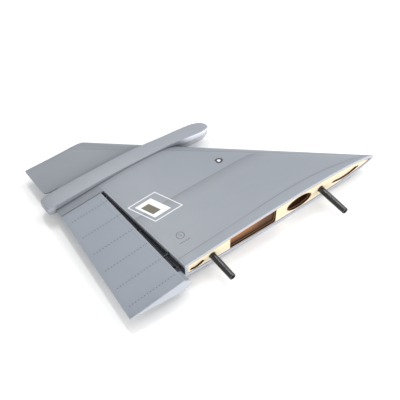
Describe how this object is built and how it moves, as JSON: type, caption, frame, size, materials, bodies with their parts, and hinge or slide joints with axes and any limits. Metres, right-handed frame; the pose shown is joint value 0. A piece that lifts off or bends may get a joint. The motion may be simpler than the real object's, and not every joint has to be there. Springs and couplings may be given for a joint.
{
  "type": "model aircraft tail fin with rudder",
  "caption": "Swept model-aircraft tail fin with hinged rudder, antenna pod near the tip, plywood root rib and tube joiners at the root.",
  "frame": {"origin": "under the middle of the part as it lies on its right side, on the level of its lowest point", "axes": "+X forward along the root, from rudder to leading edge; +Y from root to tip; +Z out of the left side"},
  "size_m": [0.696, 0.5246, 0.0621],
  "materials": {
    "skin_paint": "satin",
    "pod_paint": "satin",
    "rim_paint": "satin",
    "nose_paint": "matte",
    "ply": "matte",
    "brown_ply": "matte",
    "carbon": "satin",
    "steel": "satin",
    "servo_plastic": "matte",
    "arm_plastic": "matte"
  },
  "bodies": {
    "fin": {"fin_skin_left": "skin_paint", "fin_skin_right": "skin_paint", "leading_edge_strip": "skin_paint", "root_rib": "ply", "root_doubler": "ply", "bay_wall": "brown_ply", "joiner_tube_rear": "carbon", "joiner_tube_front": "carbon", "main_spar": "ply", "tube_rib_front": "ply", "tube_rib_rear": "ply", "mid_rib_front": "ply", "mid_rib_rear": "ply", "outer_rib": "ply", "pod_shell_left": "pod_paint", "pod_shell_right": "pod_paint", "tip_skin_left": "skin_paint", "tip_skin_right": "skin_paint", "tip_root_rib": "ply", "tip_cap": "skin_paint", "tip_dowel_1": "carbon", "tip_dowel_2": "carbon", "trailing_band": "skin_paint", "hinge_lug_1": "servo_plastic", "hinge_lug_2": "servo_plastic", "hinge_lug_3": "servo_plastic", "servo_case": "servo_plastic", "servo_lid": "servo_plastic", "servo_tray": "ply", "servo_screw_1": "steel", "servo_screw_2": "steel"},
    "rudder": {"rudder_skin_left": "skin_paint", "rudder_skin_right": "skin_paint", "rudder_nose": "nose_paint", "rudder_root_rib": "rim_paint", "rudder_mid_rib": "ply", "rudder_top_rib": "ply", "hinge_pin_1": "steel", "hinge_pin_2": "steel", "hinge_pin_3": "steel", "rudder_horn": "arm_plastic", "horn_pin": "steel"},
    "servo_lever": {"servo_arm": "arm_plastic", "servo_shaft": "steel", "arm_pin": "steel"},
    "linkage_rod": {"push_rod": "steel"}
  },
  "joints": [
    {"name": "rudder_hinge", "type": "hinge", "parent": "fin", "child": "rudder", "pos_m": [-0.21564, -0.13265, 0.03105], "axis": [-0.033, 0.9995, 0], "range_deg": [-25, 25]},
    {"name": "servo_spin", "type": "hinge", "parent": "fin", "child": "servo_lever", "pos_m": [-0.05073, -0.12721, 0.03105], "axis": [-0.033, 0.9995, 0], "range_deg": [-25, 25]},
    {"name": "rod_pivot", "type": "hinge", "parent": "servo_lever", "child": "linkage_rod", "pos_m": [-0.05073, -0.12721, 0.04205], "axis": [-0.033, 0.9995, 0], "range_deg": [-25, 25]}
  ],
  "couplings": [
    {"joint": "servo_spin", "follows": "rudder_hinge", "ratio": 1},
    {"joint": "rod_pivot", "follows": "rudder_hinge", "ratio": -1}
  ]
}
